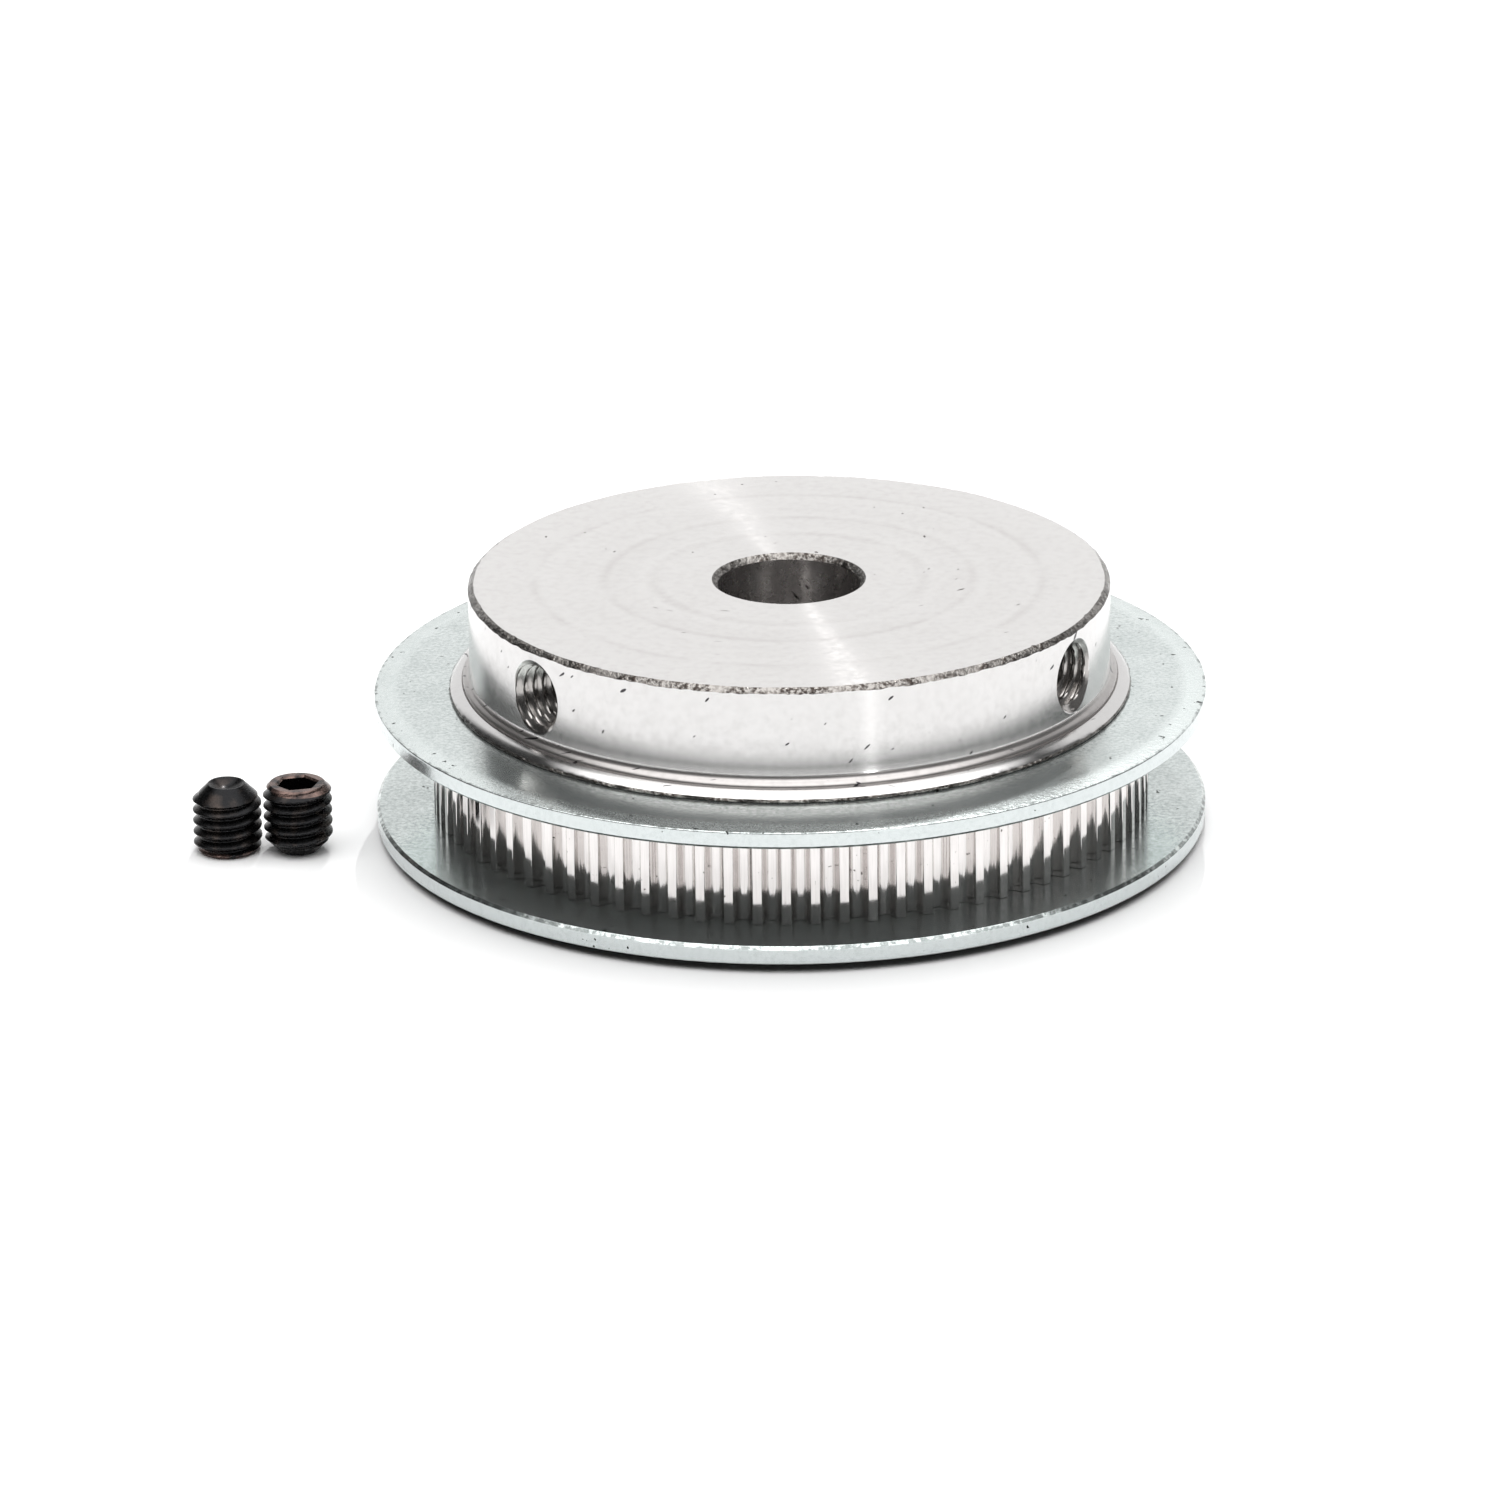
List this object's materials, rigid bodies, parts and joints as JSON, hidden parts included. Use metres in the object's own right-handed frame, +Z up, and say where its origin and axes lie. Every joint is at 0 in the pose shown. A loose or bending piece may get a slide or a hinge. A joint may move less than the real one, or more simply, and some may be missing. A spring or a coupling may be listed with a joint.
{
  "type": "timing belt pulley",
  "caption": "Flanged toothed pulley for a narrow timing belt, with a raised hub, a plain through bore and loose set screws that clamp it to a shaft.",
  "frame": {"origin": "centre of the floor rectangle that the pulley and its two loose set screws fill together, on the surface they stand on", "axes": "+Z up along the pulley's axis from the toothed rim to the hub, +X from the set screws towards the pulley, -Y towards the front"},
  "size_m": [0.0712, 0.0584, 0.018],
  "materials": {
    "body_aluminium": "turned, fine concentric tool marks, satin",
    "flange_zinc": "stamped steel with grey zinc plate, finely speckled",
    "screw_black_oxide": "black oxide, lightly oiled"
  },
  "bodies": {
    "pulley": {"pulley_body": "body_aluminium", "upper_flange": "flange_zinc", "lower_flange": "flange_zinc"},
    "point_up_screw": {"set_screw_point_up": "screw_black_oxide"},
    "socket_up_screw": {"set_screw_socket_up": "screw_black_oxide"}
  },
  "joints": [
    {"name": "point_up_screw_lift", "type": "slide", "parent": "pulley", "child": "point_up_screw", "axis": [0, 0, 1], "range_m": [0, 0.03]},
    {"name": "socket_up_screw_lift", "type": "slide", "parent": "pulley", "child": "socket_up_screw", "axis": [0, 0, 1], "range_m": [0, 0.03]}
  ]
}
